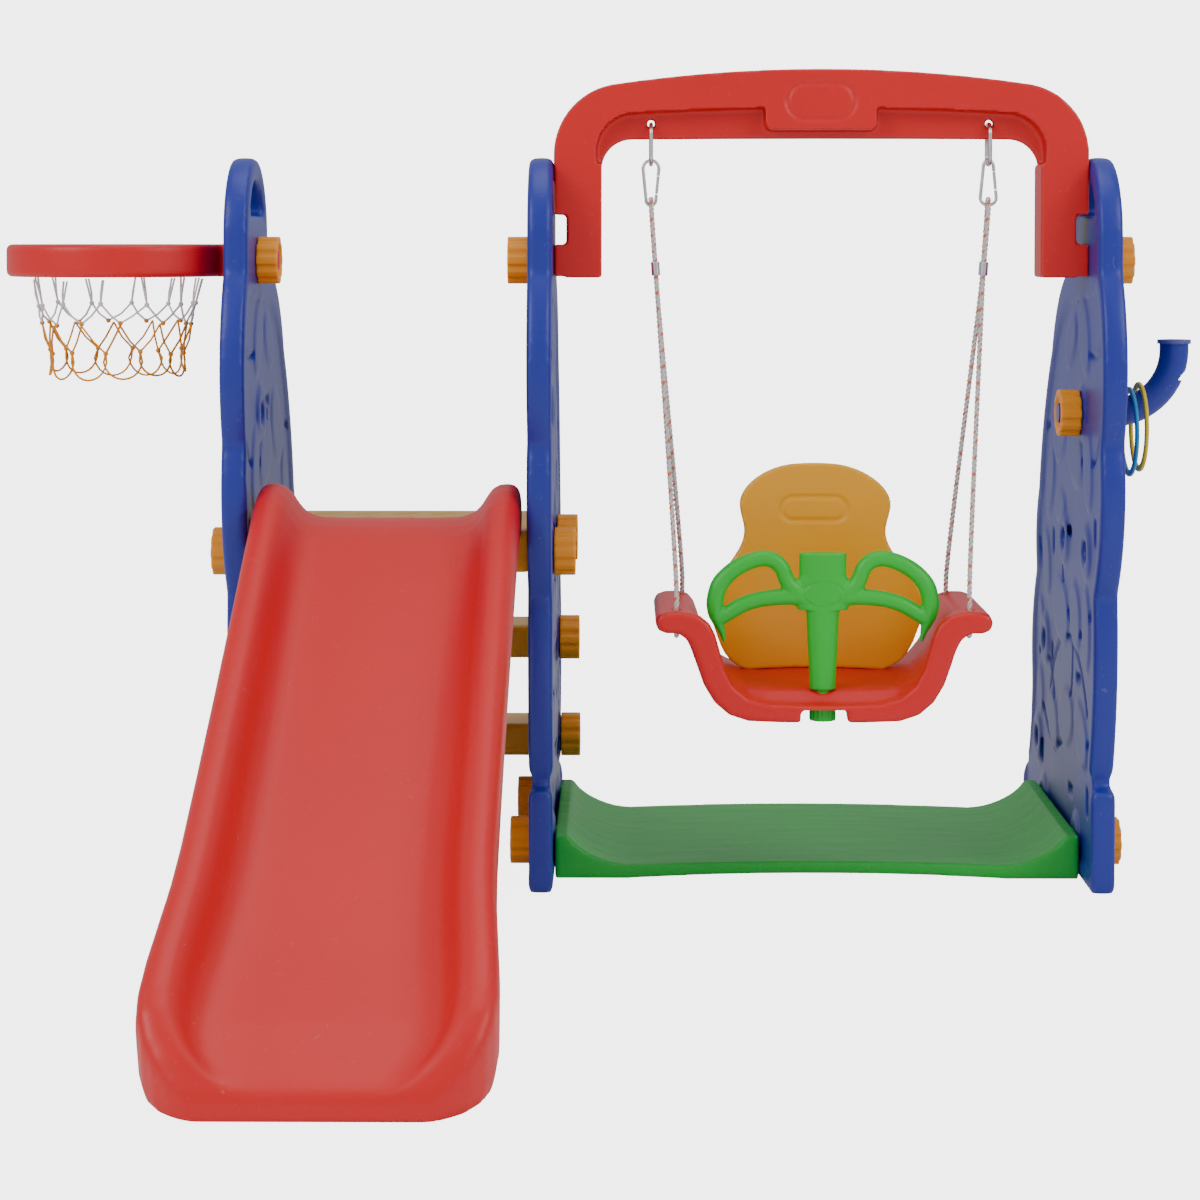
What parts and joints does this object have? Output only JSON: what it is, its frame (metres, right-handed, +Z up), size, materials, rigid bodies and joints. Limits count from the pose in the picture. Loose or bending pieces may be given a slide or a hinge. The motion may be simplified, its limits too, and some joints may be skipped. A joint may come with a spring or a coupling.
{
  "type": "toddler swing and slide set",
  "caption": "Moulded toddler play set: scalloped side panels with a slide, steps, hoop with net, ring toss horn and a rope-hung bucket swing.",
  "frame": {"origin": "on the floor, in the middle of the base of the middle side panel", "axes": "+Z up from the floor, +X across the set from the hoop to the ring horn, the slide runs out towards -Y"},
  "size_m": [1.7308, 1.679, 1.187],
  "materials": {
    "blue_plastic": "satin",
    "light_blue_plastic": "satin",
    "red_plastic": "satin",
    "yellow_plastic": "satin",
    "amber_plastic": "satin",
    "orange_plastic": "satin",
    "green_plastic": "satin",
    "steel": "polished zinc",
    "rope_fibre": "twisted rope",
    "net_cord": "knotted cord"
  },
  "bodies": {
    "frame": {"panel_left": "blue_plastic", "panel_middle": "blue_plastic", "panel_right": "blue_plastic", "ring_horn": "blue_plastic", "platform": "yellow_plastic", "step_upper": "yellow_plastic", "step_lower": "yellow_plastic", "slide": "red_plastic", "hoop": "red_plastic", "beam": "red_plastic", "base_board": "green_plastic", "hoop_net": "net_cord", "hoop_knob": "orange_plastic", "beam_knobs": "orange_plastic", "horn_knob": "orange_plastic", "platform_knobs": "orange_plastic", "step_upper_knobs": "orange_plastic", "step_lower_knobs": "orange_plastic", "board_knobs": "orange_plastic"},
    "link_left": {"link_left": "steel"},
    "link_right": {"link_right": "steel"},
    "swing": {"hook_left": "steel", "hook_right": "steel", "rope_left": "rope_fibre", "rope_right": "rope_fibre", "crimp_left": "steel", "crimp_right": "steel", "seat": "red_plastic", "backrest": "amber_plastic", "guard": "green_plastic"},
    "gate_left": {"hook_gate_left": "steel"},
    "gate_right": {"hook_gate_right": "steel"},
    "guard_nut": {"guard_nut": "green_plastic"},
    "ring_inner": {"ring_inner": "light_blue_plastic"},
    "ring_outer": {"ring_outer": "yellow_plastic"}
  },
  "joints": [
    {"name": "link_left_swing", "type": "hinge", "parent": "frame", "child": "link_left", "pos_m": [0.159, -0.25, 1.108], "axis": [1, 0, 0], "range_deg": [-12, 12]},
    {"name": "link_right_swing", "type": "hinge", "parent": "frame", "child": "link_right", "pos_m": [0.649, -0.25, 1.108], "axis": [1, 0, 0], "range_deg": [-12, 12]},
    {"name": "swing", "type": "hinge", "parent": "link_left", "child": "swing", "pos_m": [0.159, -0.25, 1.0558], "axis": [1, 0, 0], "range_deg": [-40, 40]},
    {"name": "gate_left_open", "type": "hinge", "parent": "swing", "child": "gate_left", "pos_m": [0.16715, -0.25, 1.00931], "axis": [0, -1, 0], "range_deg": [0, 18], "stiffness_Nm_per_rad": 0.02, "springref_deg": -17.19},
    {"name": "gate_right_open", "type": "hinge", "parent": "swing", "child": "gate_right", "pos_m": [0.65926, -0.25, 1.0156], "axis": [0, -1, 0], "range_deg": [0, 18], "stiffness_Nm_per_rad": 0.02, "springref_deg": -17.19},
    {"name": "guard_nut_turn", "type": "hinge", "parent": "swing", "child": "guard_nut", "pos_m": [0.404, -0.335, 0.263], "axis": [0, 0, 1], "continuous": true},
    {"name": "ring_inner_swing", "type": "hinge", "parent": "frame", "child": "ring_inner", "pos_m": [0.8643, -0.205, 0.6903], "axis": [1, 0, 0], "range_deg": [-45, 45]},
    {"name": "ring_outer_swing", "type": "hinge", "parent": "frame", "child": "ring_outer", "pos_m": [0.8783, -0.205, 0.696], "axis": [1, 0, 0], "range_deg": [-45, 45]}
  ],
  "couplings": [
    {"joint": "link_right_swing", "follows": "link_left_swing", "ratio": 1}
  ]
}
